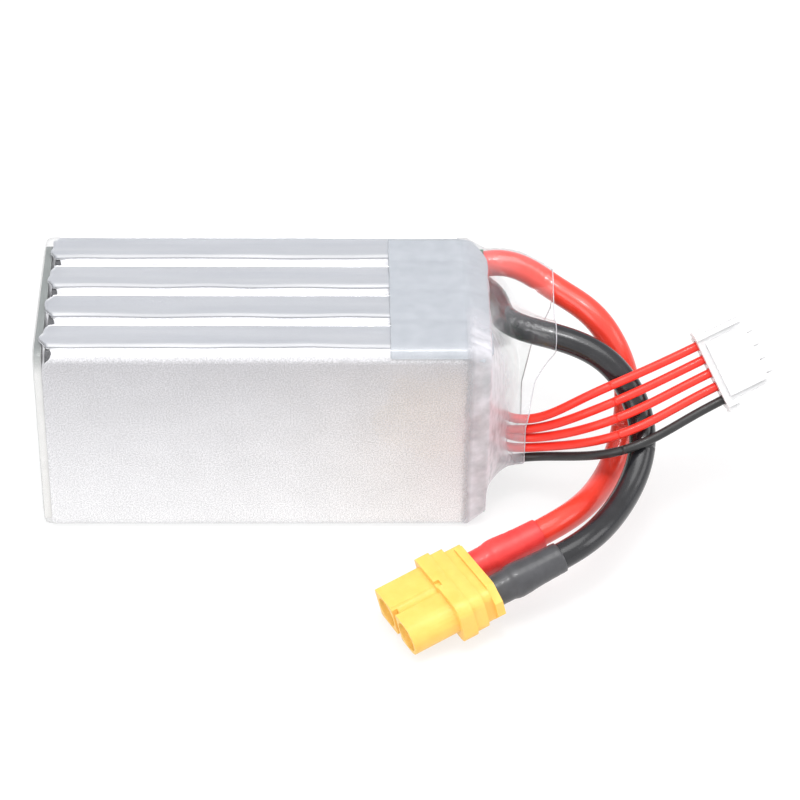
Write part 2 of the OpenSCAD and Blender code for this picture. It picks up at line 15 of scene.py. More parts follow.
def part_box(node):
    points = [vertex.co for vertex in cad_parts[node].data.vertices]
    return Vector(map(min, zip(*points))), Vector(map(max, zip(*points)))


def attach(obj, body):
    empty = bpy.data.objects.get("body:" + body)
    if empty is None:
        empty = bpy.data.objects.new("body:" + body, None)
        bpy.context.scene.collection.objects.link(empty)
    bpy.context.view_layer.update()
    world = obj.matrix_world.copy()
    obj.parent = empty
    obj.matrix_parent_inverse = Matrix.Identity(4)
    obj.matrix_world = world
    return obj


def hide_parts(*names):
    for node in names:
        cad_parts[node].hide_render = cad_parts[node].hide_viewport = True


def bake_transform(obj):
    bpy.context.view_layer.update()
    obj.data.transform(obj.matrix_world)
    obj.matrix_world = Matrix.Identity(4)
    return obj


MM = 0.001
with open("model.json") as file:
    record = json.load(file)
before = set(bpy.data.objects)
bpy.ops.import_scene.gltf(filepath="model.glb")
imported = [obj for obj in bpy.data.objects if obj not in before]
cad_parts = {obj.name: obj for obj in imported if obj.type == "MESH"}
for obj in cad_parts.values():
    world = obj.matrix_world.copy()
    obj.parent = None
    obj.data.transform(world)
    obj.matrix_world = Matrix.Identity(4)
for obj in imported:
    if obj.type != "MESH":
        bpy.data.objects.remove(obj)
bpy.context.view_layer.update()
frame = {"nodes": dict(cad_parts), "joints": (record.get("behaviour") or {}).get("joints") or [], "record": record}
RECORD = frame["record"]
JOINTS = {joint["name"]: joint for joint in frame["joints"]}
MOUNTS = {mount["name"]: mount for mount in RECORD["mounts"]}

CELLS = ["cell_1", "cell_2", "cell_3", "cell_4"]
CELL_FRONTS = np.array([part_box(name + "_electrode_stack")[0].y for name in CELLS])
PACK_TOP = MOUNTS["strap_face"]["pos_m"][2]
PACK_SIDE = MOUNTS["side_face"]["pos_m"][1]
BOARD_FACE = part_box("tab_board")[1].x
CELL_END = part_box("cell_1_electrode_stack")[1].x
LEAD_R = 2.25 * MM
SENSE_R = 0.78 * MM
SENSE_PITCH = 2.5 * MM  # between balance wires at the plug
SENSE_COUNT = 5  # balance wires; the last one is black
FILM_GAP = 0.3 * MM  # the shrink film stays this far off the wires
BEAD_R = 0.09 * MM  # along the film's free edge
LEAD_SIDES, SENSE_SIDES, SLEEVE_SIDES, BEAD_SIDES = 32, 16, 48, 8


def unit(vector):
    """The vector at length 1."""
    vector = np.array(vector, float)
    return vector / np.linalg.norm(vector)


def smoothstep(x):
    """0 below 0, 1 above 1, and a smooth rise between."""
    x = np.clip(x, 0, 1)
    return x * x * (3 - 2 * x)


# ---------------------------------------------------------------- materials


def principled(name, roughness, metallic=0.0, coat=0.0):
    """A material with a Principled shader, and its node tree and shader."""
    material = bpy.data.materials.new(name)
    material.use_nodes = True
    tree = material.node_tree
    shader = tree.nodes["Principled BSDF"]
    shader.inputs["Roughness"].default_value = roughness
    shader.inputs["Metallic"].default_value = metallic
    shader.inputs["Coat Weight"].default_value = coat
    return material, tree, shader


def connect(tree, value, socket):
    """Feeds a socket from another node's output, or sets it to a number."""
    if isinstance(value, (int, float)):
        socket.default_value = value
    else:
        tree.links.new(value, socket)


def coordinates(tree, stretch=(1, 1, 1)):
    """Object coordinates in metres, stretched per axis."""
    source = tree.nodes.new("ShaderNodeTexCoord")
    mapping = tree.nodes.new("ShaderNodeMapping")
    mapping.inputs["Scale"].default_value = stretch
    tree.links.new(source.outputs["Object"], mapping.inputs["Vector"])
    return mapping.outputs["Vector"]


def noise_node(tree, per_metre, detail=3.0, stretch=(1, 1, 1)):
    """Noise from 0 to 1 over the object's coordinates."""
    node = tree.nodes.new("ShaderNodeTexNoise")
    node.inputs["Scale"].default_value = per_metre
    node.inputs["Detail"].default_value = detail
    tree.links.new(coordinates(tree, stretch), node.inputs["Vector"])
    return node.outputs["Fac"]


def ramp(tree, value, *stops):
    """A colour ramp over (position, colour) stops."""
    node = tree.nodes.new("ShaderNodeValToRGB")
    while len(node.color_ramp.elements) < len(stops):
        node.color_ramp.elements.new(0.5)
    for element, (position, colour) in zip(node.color_ramp.elements, stops):
        element.position = position
        element.color = (*colour, 1.0)
    tree.links.new(value, node.inputs["Fac"])
    return node.outputs["Color"]


def bump(tree, shader, height, distance, strength=1.0):
    """Raises the shader's surface by a height pattern, and returns the Bump node."""
    node = tree.nodes.new("ShaderNodeBump")
    node.inputs["Distance"].default_value = distance
    node.inputs["Strength"].default_value = strength
    tree.links.new(height, node.inputs["Height"])
    tree.links.new(node.outputs["Normal"], shader.inputs["Normal"])
    return node


def textured(name, dark, light, roughness, metallic=0.0, coat=0.0, mottle=400, grain=4000,
             depth=0.02 * MM, stretch=(1, 1, 1)):
    """Everyday finish: two close colours mottled together, with a fine grain in the surface.

    mottle and grain are how many times per metre each repeats, and depth is the height of the grain.
    """
    material, tree, shader = principled(name, roughness, metallic, coat)
    cloud = noise_node(tree, mottle, stretch=stretch)
    tree.links.new(ramp(tree, cloud, (0.3, dark), (0.7, light)), shader.inputs["Base Color"])
    bump(tree, shader, noise_node(tree, grain, stretch=stretch), depth)
    return material, shader


def multiply(tree, a, b):
    """Product of two colours."""
    node = tree.nodes.new("ShaderNodeMix")
    node.data_type = "RGBA"
    node.blend_type = "MULTIPLY"
    node.inputs["Factor"].default_value = 1.0
    tree.links.new(a, node.inputs["A"])
    tree.links.new(b, node.inputs["B"])
    return node.outputs["Result"]


def value_node(tree, operation, *values):
    """A Math node over sockets or numbers."""
    node = tree.nodes.new("ShaderNodeMath")
    node.operation = operation
    for socket, value in zip(node.inputs, values):
        connect(tree, value, socket)
    return node.outputs["Value"]


def map_range(tree, value, low, high, to_low=0.0, to_high=1.0):
    """The value rescaled from low..high to to_low..to_high, and held there outside it."""
    node = tree.nodes.new("ShaderNodeMapRange")
    tree.links.new(value, node.inputs["Value"])
    rows = (("From Min", low), ("From Max", high), ("To Min", to_low), ("To Max", to_high))
    for name, number in rows:
        node.inputs[name].default_value = number
    return node.outputs["Result"]


def mixed(tree, factor, first, second):
    """The first shader where the factor is 0, the second where it is 1."""
    node = tree.nodes.new("ShaderNodeMixShader")
    connect(tree, factor, node.inputs["Fac"])
    tree.links.new(first, node.inputs[1])
    tree.links.new(second, node.inputs[2])
    return node.outputs["Shader"]


def position_axis(tree, axis):
    """One axis of the surface point's place in the scene, in metres."""
    geometry = tree.nodes.new("ShaderNodeNewGeometry")
    axes = tree.nodes.new("ShaderNodeSeparateXYZ")
    tree.links.new(geometry.outputs["Position"], axes.inputs["Vector"])
    return axes.outputs[axis]


def foil_front():
    """Frosted pouch laminate with a fine sparkle, and painted light by height: painted shade darkening towards the
    top of a side, and painted light pale on top.
    """
    material, tree, shader = principled("pouch_foil_frosted", roughness=0.6, metallic=0.22)
    speckle = noise_node(tree, per_metre=4200, detail=2.0)
    cloud = noise_node(tree, per_metre=160)
    # Painted light and shade by height: pale low on a side, painted shade darkest just under the top, painted
    # light on the top face.
    height = map_range(tree, position_axis(tree, "Z"), 0.0, PACK_TOP)
    shade = ramp(tree, height, (0.0, (0.87, 0.865, 0.87)), (0.45, (0.74, 0.735, 0.75)),
                 (0.93, (0.54, 0.535, 0.555)), (0.99, (0.85, 0.85, 0.87)))
    dust = ramp(tree, speckle, (0.38, (0.80, 0.80, 0.805)), (0.62, (1.10, 1.10, 1.105)))
    patch = ramp(tree, cloud, (0.3, (0.97, 0.97, 0.97)), (0.7, (1.02, 1.02, 1.02)))
    colour = multiply(tree, multiply(tree, shade, dust), patch)
    tree.links.new(colour, shader.inputs["Base Color"])
    bump(tree, shader, speckle, distance=0.022 * MM, strength=0.45)
    return material


def foil_seam():
    """Smooth side of the laminate on the folded seams, with drawn-out streaks along the cell."""
    return textured("pouch_foil_seam", (0.84, 0.85, 0.88), (0.92, 0.925, 0.945), roughness=0.28,
                    metallic=0.95, mottle=500, grain=900, stretch=(0.06, 1, 1))[0]


def see_through(name, veil_stops, edge_veil, behind):
    """Clear film: light passes, it shines at grazing angles, and a milky veil changes along X.

    veil_stops are (X, veil) pairs in order of X. At grazing angles the veil grows by up to the share
    edge_veil. Away from the front wall it falls to the share behind.
    """
    material, tree, veil_shader = principled(name, roughness=0.25)
    # The milky veil is real haze, but its grey is painted shade: darkened for the hood's front wall, which lies in
    # shadow.
    veil_shader.inputs["Base Color"].default_value = (0.68, 0.67, 0.71, 1.0)
    streaks = noise_node(tree, per_metre=700, detail=4.0, stretch=(0.35, 1, 0.5))
    relief = bump(tree, veil_shader, streaks, distance=0.02 * MM, strength=0.25)
    clear = tree.nodes.new("ShaderNodeBsdfTransparent")
    shine = tree.nodes.new("ShaderNodeBsdfGlossy")
    shine.inputs["Roughness"].default_value = 0.12
    tree.links.new(relief.outputs["Normal"], shine.inputs["Normal"])
    facing = tree.nodes.new("ShaderNodeLayerWeight")
    facing.inputs["Blend"].default_value = 0.5
    grazing = value_node(tree, "POWER", facing.outputs["Facing"], 4.0)
    reflects = map_range(tree, grazing, 0.0, 1.0, 0.02, 0.6)  # share of the light, face on and edge on
    surface = mixed(tree, reflects, clear.outputs["BSDF"], shine.outputs["BSDF"])
    first, last = veil_stops[0][0], veil_stops[-1][0]
    along = map_range(tree, position_axis(tree, "X"), first, last)
    stops = [((x - first) / (last - first), (veil, veil, veil)) for x, veil in veil_stops]
    front = map_range(tree, position_axis(tree, "Y"), -PACK_SIDE + 1.5 * MM, -3 * MM, 1.0, behind)
    base = value_node(tree, "MULTIPLY", ramp(tree, along, *stops), front)
    at_edges = value_node(tree, "MULTIPLY", base, edge_veil)
    added = value_node(tree, "MULTIPLY", facing.outputs["Facing"], at_edges)
    veil = value_node(tree, "ADD", base, added)
    streaked = value_node(tree, "MULTIPLY", veil, map_range(tree, streaks, 0.3, 0.7, 0.65, 1.35))
    film = mixed(tree, streaked, surface, veil_shader.outputs["BSDF"])
    tree.links.new(film, tree.nodes["Material Output"].inputs["Surface"])
    return material


def white_nylon():
    """Translucent white plug nylon."""
    material, shader = textured("white_nylon", (0.66, 0.66, 0.665), (0.72, 0.72, 0.725),
                                roughness=0.32, mottle=300, grain=2500, depth=0.01 * MM)
    shader.inputs["Subsurface Weight"].default_value = 0.5
    shader.inputs["Subsurface Radius"].default_value = (1, 1, 1)
    shader.inputs["Subsurface Scale"].default_value = 1.2 * MM
    return material


def yellow_nylon():
    """Satin yellow connector nylon, faintly blotched and warm in its depth."""
    material, shader = textured("yellow_nylon", (0.84, 0.49, 0.09), (0.89, 0.55, 0.12),
                                roughness=0.42, mottle=350, grain=1500, depth=0.03 * MM)
    shader.inputs["Subsurface Weight"].default_value = 0.1
    shader.inputs["Subsurface Radius"].default_value = (1.0, 0.6, 0.2)
    shader.inputs["Subsurface Scale"].default_value = 0.8 * MM
    return material


def end_card():
    """Pale card at the closed end, dark where its top edge lies in the shade of the folded seams."""
    material, tree, shader = principled("end_board", roughness=0.5)
    height = map_range(tree, position_axis(tree, "Z"), 0.0, PACK_TOP)
    shade = ramp(tree, height, (0.0, (0.80, 0.79, 0.77)), (0.86, (0.76, 0.76, 0.75)),
                 (0.96, (0.22, 0.235, 0.23)))
    mottle = ramp(tree, noise_node(tree, per_metre=500), (0.3, (0.93, 0.93, 0.93)), (0.7, (1.0, 1.0, 1.0)))
    tree.links.new(multiply(tree, shade, mottle), shader.inputs["Base Color"])
    return material


def simple_materials():
    """Material slot name to finish, for the leads, sleeves, metal and the hidden CAD parts.

    A row is the name, the dark and the light colour, the roughness, the metallic share and the coat.
    """
    rows = [
        ("red_silicone", (0.78, 0.042, 0.024), (0.84, 0.055, 0.032), 0.28, 0.0, 0.3),
        ("black_silicone", (0.008, 0.008, 0.010), (0.016, 0.016, 0.019), 0.24, 0.0, 0.2),
        ("red_sense_wire", (0.80, 0.024, 0.012), (0.87, 0.034, 0.018), 0.36, 0.0, 0.1),
        ("black_sense_wire", (0.012, 0.012, 0.012), (0.022, 0.022, 0.023), 0.42, 0.0, 0.1),
        ("red_sleeve", (0.72, 0.03, 0.03), (0.82, 0.05, 0.045), 0.42, 0.0, 0.1),
        ("black_sleeve", (0.040, 0.040, 0.044), (0.060, 0.060, 0.066), 0.38, 0.0, 0.2),
        ("grey_tape", (0.365, 0.385, 0.42), (0.42, 0.44, 0.475), 0.5, 0.0, 0.0),
        ("gold_contact", (0.80, 0.52, 0.16), (0.92, 0.66, 0.25), 0.25, 1.0, 0.0),
        ("tinned_contact", (0.66, 0.60, 0.46), (0.78, 0.72, 0.56), 0.3, 1.0, 0.0),
        ("solder", (0.55, 0.56, 0.58), (0.74, 0.75, 0.76), 0.28, 1.0, 0.0),
        ("tinned_copper", (0.62, 0.59, 0.54), (0.78, 0.75, 0.70), 0.35, 1.0, 0.0),
        ("aluminium_tab", (0.72, 0.72, 0.74), (0.84, 0.84, 0.86), 0.3, 1.0, 0.0),
        ("nickel_tab", (0.62, 0.60, 0.56), (0.76, 0.74, 0.70), 0.3, 1.0, 0.0),
        ("electrode_stack", (0.04, 0.04, 0.045), (0.08, 0.08, 0.085), 0.6, 0.0, 0.0),
        ("adhesive_pad", (0.84, 0.84, 0.82), (0.90, 0.90, 0.88), 0.6, 0.0, 0.0),
        ("insulator_card", (0.80, 0.76, 0.64), (0.88, 0.85, 0.74), 0.6, 0.0, 0.0),
        ("circuit_board", (0.02, 0.16, 0.06), (0.03, 0.24, 0.09), 0.35, 0.0, 0.3),
    ]
    made = {}
    for name, dark, light, roughness, metallic, coat in rows:
        made[name] = textured(name, dark, light, roughness, metallic, coat)[0]
    return made


MATERIALS = simple_materials()
MATERIALS["pouch_foil"] = foil_front()
MATERIALS["pouch_seam"] = foil_seam()
MATERIALS["end_board"] = end_card()
# How milky the film looks, as (X, share) from the cells out over the wires.
HOOD_VEIL = [
    (CELL_END + 1 * MM, 0.008),
    (CELL_END + 2.6 * MM, 0.50),
    (BOARD_FACE + 2 * MM, 0.46),
    (BOARD_FACE + 6 * MM, 0.30),
    (BOARD_FACE + 12 * MM, 0.10),
]
EDGE_VEIL = [(0.0, 0.6), (BOARD_FACE, 0.6)]
MATERIALS["clear_film"] = see_through("clear_film", HOOD_VEIL, edge_veil=1.4, behind=0.10)
MATERIALS["film_edge"] = see_through("film_edge", EDGE_VEIL, edge_veil=0.3, behind=1.0)
MATERIALS["connector_nylon"] = yellow_nylon()
MATERIALS["plug_nylon"] = white_nylon()


def paint_cad_nodes():
    """Gives every CAD node the procedural finish of its material slot in the record."""
    slots = {sub["node"]: sub["material_slot"] for sub in RECORD["subparts"]}
    for name, node in frame["nodes"].items():
        node.data.materials.clear()
        node.data.materials.append(MATERIALS[slots[name]])


# ---------------------------------------------------------------- meshes


def add_mesh(name, points, faces, material):
    """A smooth-shaded piece in one of MATERIALS."""
    mesh = bpy.data.meshes.new(name)
    mesh.from_pydata([tuple(p) for p in points], [], [tuple(int(i) for i in f) for f in faces])
    mesh.validate()
    mesh.update()
    mesh.shade_smooth()
    piece = bpy.data.objects.new(name, mesh)
    bpy.context.scene.collection.objects.link(piece)
    piece.data.materials.append(MATERIALS[material])
    return piece


def grid_faces(rows, columns, wrap=False):
    """Quads of a rows by columns grid of points; wrap joins the last column to the first."""
    faces = []
    for i in range(rows - 1):
        here, ahead = i * columns, (i + 1) * columns
        for j in range(columns if wrap else columns - 1):
            k = (j + 1) % columns
            faces.append((here + j, ahead + j, ahead + k, here + k))
    return faces


def end_caps(around, count):
    """The first and the last ring of a tube of count points, as the faces that close it."""
    return [list(range(around)), list(range(count - 1, count - around - 1, -1))]


def sheet_faces(rows, columns):
    """Faces of a thin sheet: its lower grid, its upper grid, and the rim between them."""
    lower = grid_faces(rows, columns)
    count = rows * columns
    upper = [tuple(k + count for k in face)[::-1] for face in lower]
    return lower + upper + rim_faces(rows, columns)


def rim_faces(rows, columns):
    """Quads that close the edge between two stacked grids of the same size."""
    ring = [(0, j) for j in range(columns)]
    ring += [(i, columns - 1) for i in range(1, rows)]
    ring += [(rows - 1, j) for j in range(columns - 2, -1, -1)]
    ring += [(i, 0) for i in range(rows - 2, 0, -1)]
    ids = [i * columns + j for i, j in ring]
    count = rows * columns
    return [(a, b, b + count, a + count)[::-1] for a, b in zip(ids, ids[1:] + ids[:1])]


def run_along(points):
    """Length of the polyline from its start to each of its points."""
    steps = np.linalg.norm(np.diff(points, axis=0), axis=1)
    return np.concatenate([[0], np.cumsum(steps)])


def resampled(path, spacing):
    """The polyline's points at even spacing, after smoothing."""
    path = np.array(path, float)
    smoothing_passes = 30
    for _ in range(smoothing_passes):
        path[1:-1] = path[1:-1] * 0.5 + (path[:-2] + path[2:]) * 0.25
    run = run_along(path)
    even = np.linspace(0, run[-1], max(4, int(run[-1] / spacing)))
    return np.stack([np.interp(even, run, path[:, axis]) for axis in range(3)], axis=1)


def frames_along(path):
    """Side and up vectors that don't twist along the path."""
    tangents = np.gradient(path, axis=0)
    tangents /= np.linalg.norm(tangents, axis=1)[:, None]
    off_every_wire = [0.31, 0.52, 0.79]
    side = unit(np.cross(tangents[0], off_every_wire))
    sides = []
    for tangent in tangents:
        side = unit(side - tangent * (side @ tangent))
        sides.append(side)
    sides = np.array(sides)
    return sides, np.cross(tangents, sides)


def tube(name, path, radii, around, material, frames=None):
    """Closed tube along a path, with one radius or one for every point.

    frames holds its side and up vectors when it is one length of a longer tube.
    """
    radii = np.broadcast_to(radii, (len(path),))
    sides, ups = frames if frames is not None else frames_along(path)
    angles = np.linspace(0, 2 * math.pi, around, endpoint=False)[None, :, None]
    ring = np.cos(angles) * sides[:, None] + np.sin(angles) * ups[:, None]
    points = (path[:, None] + ring * radii[:, None, None]).reshape(-1, 3)
    faces = [face[::-1] for face in grid_faces(len(path), around, wrap=True)]
    piece = add_mesh(name, points, faces + end_caps(around, len(points)), material)
    for cap in list(piece.data.polygons)[-2:]:
        cap.use_smooth = False
    return piece


# ---------------------------------------------------------------- centrelines read from the CAD


def edges_of(nodes):
    """End points of every edge of these CAD nodes' meshes, as two arrays."""
    starts, ends = [], []
    for name in nodes:
        mesh = frame["nodes"][name].data
        points = np.array([v.co for v in mesh.vertices], float)
        pairs = np.array([e.vertices[:] for e in mesh.edges], int)
        starts.append(points[pairs[:, 0]])
        ends.append(points[pairs[:, 1]])
    return np.concatenate(starts), np.concatenate(ends)


def centreline(nodes, start, direction, radius, step=0.7 * MM):
    """Walks along a CAD wire: cuts its meshes with a plane at every step and takes the middle of the cut.

    The walk ends where the meshes end, or where the wire would turn by more than 60 degrees in one step.
    """
    most_points, fewest_cuts, reach, least_cosine = 400, 8, radius * 1.38, 0.5
    a, b = edges_of(nodes)
    path, heading = [np.array(start, float)], unit(direction)
    while len(path) < most_points:
        guess = path[-1] + heading * step
        side_a, side_b = (a - guess) @ heading, (b - guess) @ heading
        crossing = side_a * side_b < 0
        share = (side_a / np.where(crossing, side_a - side_b, 1.0))[crossing, None]
        cuts = a[crossing] + (b[crossing] - a[crossing]) * share
        cuts = cuts[np.linalg.norm(cuts - guess, axis=1) < reach]
        if len(cuts) < fewest_cuts:
            break
        middle = (cuts.max(axis=0) + cuts.min(axis=0)) / 2
        turned = unit(middle - path[-1])
        if turned @ heading < least_cosine:
            break
        heading = turned
        path.append(path[-1] + heading * step)
    return np.array(path)


MATE = unit(MOUNTS["positive_contact_bore"]["axis"])  # the way the power connector faces
SENSE_MATE = unit(MOUNTS["balance_plug_face"]["axis"])  # the way the balance plug faces
SENSE_WIDTH = unit(JOINTS["balance_plug_flex"]["axis"])  # along the plug's row of wires
PLUG_FLEX = np.array(JOINTS["balance_plug_flex"]["pos_m"])
CONNECTOR_FLEX = np.array(JOINTS["power_connector_flex"]["pos_m"])
SWING = np.array(JOINTS["balance_lead_swing"]["pos_m"])
BORES = {"black": "negative_contact_bore", "red": "positive_contact_bore"}


def lead_path(colour):
    """Centreline of a main lead, from inside its sleeve to the board."""
    bore = np.array(MOUNTS[BORES[colour]]["pos_m"])
    past_flex = 3 * MM
    start = bore - MATE * (((bore - CONNECTOR_FLEX) @ MATE) - past_flex)
    nodes = [colour + part for part in ("_lead_root", "_lead", "_lead_tail")]
    path = centreline(nodes, start, -MATE, LEAD_R)
    return resampled(carried_to_board(path, colour), 0.6 * MM)


def carried_to_board(path, colour):
    """The centreline with a short run added from its end into its solder joint on the board."""
    lo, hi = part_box("lead_solder_joints")
    radius = (hi.y - lo.y) / 2
    height = hi.z - radius if colour == "red" else lo.z + radius
    joint = np.array([BOARD_FACE + 0.2 * MM, (lo.y + hi.y) / 2, height])
    shares = np.linspace(0, 1, 8)[1:]
    return np.concatenate([path, path[-1] + np.outer(shares, joint - path[-1])])


def sense_names(index):
    """Colour of a balance wire, and the CAD nodes of its run into the pack and its run into the plug."""
    if index == SENSE_COUNT - 1:
        return "black", "balance_wire_root_black", "balance_wire_tail_black"
    return "red", "balance_wire_roots_red", "balance_wire_tails_red"


def at_plug(index):
    """Where a balance wire passes the plug's joint."""
    return PLUG_FLEX + SENSE_WIDTH * SENSE_PITCH * (index - SENSE_COUNT // 2)


def sense_path(index):
    """Centreline of a balance wire, from inside the plug to the board."""
    roots, tails = sense_names(index)[1:]
    start = at_plug(index) + SENSE_MATE * 2.2 * MM
    path = centreline([roots, f"balance_wire_{index + 1}", tails], start, -SENSE_MATE, SENSE_R)
    return resampled(path, 0.45 * MM)


# ---------------------------------------------------------------- leads and wires


def two_part_wire(name, path, radius, around, material, cut, far, near):
    """A wire in two pieces that meet at point number cut: far, at the plug, and near, at the pack.

    far and near are (suffix, body, body, start, end, replaced nodes); the bodies, start and end are not used.
    """
    sides, ups = frames_along(path)
    for half, run in ((far, slice(0, cut + 1)), (near, slice(cut, None))):
        suffix, body_a, body_b, start, end, nodes = half
        frames = (sides[run], ups[run])
        piece = tube(f"{name}_{suffix}", path[run], radius, around, material, frames)
        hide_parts(*nodes)
        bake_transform(piece)


def nearest_to_axis(path, joint):
    """Number of the path's point that is nearest the axis of a joint."""
    axis = unit(JOINTS[joint]["axis"])
    offset = path - np.array(JOINTS[joint]["pos_m"])
    return int(np.argmin(np.linalg.norm(offset - np.outer(offset @ axis, axis), axis=1)))


def build_lead(colour):
    """A main lead, in two pieces that meet halfway between the connector and the pack's outlet."""
    path = lead_path(colour)
    flex_at = int(np.argmin(np.abs((path - CONNECTOR_FLEX) @ MATE)))
    bend_at = nearest_to_axis(path, "main_lead_bend")
    flex, bend = path[flex_at], path[bend_at]
    six_points_out = path[bend_at - 6]
    outward = unit(six_points_out - bend)
    in_tail = [colour + part for part in ("_lead_tail", "_strands")]
    in_root = [colour + part for part in ("_lead_root", "_lead", "_strands_root")]
    far = ("lower", "main_lead_loop", "power_connector",
           flex - MATE * 4 * MM, flex + MATE * 0.5 * MM, in_tail)
    near = ("upper", "pack", "main_lead_loop",
            bend - outward * 1 * MM, bend + outward * 3.5 * MM, in_root + ["lead_solder_joints"])
    name, cut = colour + "_silicone_lead", (flex_at + bend_at) // 2
    two_part_wire(name, path, LEAD_R, LEAD_SIDES, colour + "_silicone", cut, far, near)
    return path


def build_sense_wire(index):
    """A balance wire, in two pieces that meet halfway along its run from the plug to the pack's outlet."""
    colour, roots, tails = sense_names(index)
    path = sense_path(index)
    outlet_at = nearest_to_axis(path, "balance_lead_swing")
    outlet, flex = path[outlet_at], at_plug(index)
    along_x = np.array([1.0, 0, 0])
    far = ("plug_end", "balance_lead", "balance_plug",
           flex - SENSE_MATE * 4.5 * MM, flex + SENSE_MATE * 0.3 * MM, [tails, "balance_strands"])
    near = ("pack_end", "pack", "balance_lead",
            outlet - along_x * 1 * MM, outlet + along_x * 4 * MM, [roots, f"balance_wire_{index + 1}"])
    name, cut = f"sense_wire_{index + 1}", outlet_at // 2
    two_part_wire(name, path, SENSE_R, SENSE_SIDES, colour + "_sense_wire", cut, far, near)
    return path


def build_sleeve(colour):
    """Heat-shrink sleeve: a neck at the housing, a swell over the solder cup, a crisp end on the lead.

    The profile's rows are (share of the half length from the middle, radius in mm).
    """
    node = colour + "_solder_sleeve"
    bore = np.array(MOUNTS[BORES[colour]]["pos_m"])
    lo, hi = (np.array(corner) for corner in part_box(node))
    middle = bore + MATE * (((lo + hi) / 2 - bore) @ MATE)
    half_length = 7.2 * MM
    profile = [(-1.0, 2.30), (-0.995, 2.56), (-0.93, 2.60), (-0.6, 2.64), (-0.25, 2.76), (0.02, 2.93),
               (0.17, 2.98), (0.27, 2.9), (0.36, 2.72), (0.46, 2.66), (0.62, 2.66), (1.0, 2.64)]
    along, radii = zip(*profile)
    steps = np.concatenate([[-1.0, -0.997], np.linspace(-0.99, 1.0, 60)])
    path = middle + np.outer(steps * half_length, MATE)
    seed = 3 if colour == "red" else 8
    ripples = np.array([noise.noise(Vector((s * 9, seed, 0))) for s in steps])
    radius = np.interp(steps, along, radii) * MM + ripples * 0.035 * MM
    piece = tube(colour + "_heat_shrink", path, radius, SLEEVE_SIDES, colour + "_sleeve")
    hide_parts(node)
    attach(piece, "power_connector")


# ---------------------------------------------------------------- pouches

POUCH_OVER = 0.25 * MM  # a pouch's top over its electrode stack
POUCH_WALL = 0.30 * MM  # its side walls outside the stack
SEAM_WIDTH = 6.15 * MM


def build_pouch(index):
    """One cell's pouch: a pillow body, and its folded side seam lying on top as a loose tongue."""
    name = CELLS[index]
    lo = np.array(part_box(name + "_pouch")[0])
    stack_lo, stack_hi = (np.array(c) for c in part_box(name + "_electrode_stack"))
    middle_y = (stack_lo[1] + stack_hi[1]) / 2
    half_t = (stack_hi[1] - stack_lo[1]) / 2 + POUCH_WALL
    body = pillow_body(name + "_pillow", stack_hi, middle_y, half_t, lo, index)
    seam = seam_tongue(name + "_seam", stack_hi, middle_y, half_t, lo, index)
    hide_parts(name + "_pouch")
    for piece in (body, seam):
        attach(piece, "pack")


def section(half_t, low, high, samples=10):
    """Closed section in Y and Z: low corners, a bigger round front shoulder, a smaller back one."""
    r_low, r_front, r_back = 1.6 * MM, 2.0 * MM, 1.2 * MM
    corners = [
        (-half_t + r_low, low + r_low, r_low, 180, 270),
        (half_t - r_low, low + r_low, r_low, 270, 360),
        (half_t - r_back, high - r_back, r_back, 0, 90),
        (-half_t + r_front, high - r_front, r_front, 90, 180),
    ]
    points = []
    for y, z, r, a0, a1 in corners:
        for angle in np.radians(np.linspace(a0, a1, samples)):
            points.append((y + r * math.cos(angle), z + r * math.sin(angle)))
    return np.array(points)


def refined(loop, spacing):
    """The closed loop with extra points where two are further apart than spacing."""
    out = []
    for a, b in zip(loop, np.roll(loop, -1, axis=0)):
        count = max(1, int(np.linalg.norm(b - a) / spacing))
        out.extend(a + (b - a) * k / count for k in range(count))
    return np.array(out)


def pillow_body(name, stack_hi, middle_y, half_t, lo, index):
    """The filled part of a pouch: one section swept along the cell and drawn in at both ends.

    Its front top corner is nicked at the closed end, and its top is faintly wavy.
    """
    high = stack_hi[2] + POUCH_OVER
    loop = refined(section(half_t, lo[2], high), 1.0 * MM)
    half_h = (high - lo[2]) / 2
    middle_z = lo[2] + half_h
    x0, x1 = lo[0], stack_hi[0] + 2.3 * MM
    near_end = np.array([0, 0.12, 0.4, 0.9, 1.6]) * MM
    between = np.linspace(x0 + 2.5 * MM, x1 - 2.5 * MM, 60)
    stations = np.concatenate([x0 + near_end, between, x1 - near_end[::-1]])
    points = []
    for x in stations:
        closed_end = rounding(x - x0, 0.9 * MM, 0.35 * MM)
        terminal_end = rounding(x1 - x, 2.1 * MM, 1.1 * MM)
        shrink = max(closed_end, terminal_end)
        nick_depth = rounding(x - x0, 2.6 * MM, 2.4 * MM)
        for y, z in loop:
            wave = max(0.0, noise.noise(Vector((x * 90, (y + middle_y) * 60, z * 90 + index * 5))))
            top = smoothstep((z - (high - 3 * MM)) / (2 * MM))
            nick = nick_depth * smoothstep(-y / (3 * MM)) * smoothstep((z - (high - 6 * MM)) / (5 * MM))
            drawn_y = middle_y + y * (1 - shrink / half_t)
            drawn_z = middle_z + (z - middle_z) * (1 - shrink / half_h)
            points.append((x, drawn_y, drawn_z + wave * 0.12 * MM * top - nick))
    faces = [f[::-1] for f in grid_faces(len(stations), len(loop), wrap=True)]
    return add_mesh(name, points, faces + end_caps(len(loop), len(points)), "pouch_foil")


def rounding(distance, length, depth):
    """How far a surface is drawn in, this distance from an end that is rounded off over a length."""
    share = 1 - min(1.0, max(0.0, distance / length))
    return depth * (1 - math.sqrt(1 - share * share))


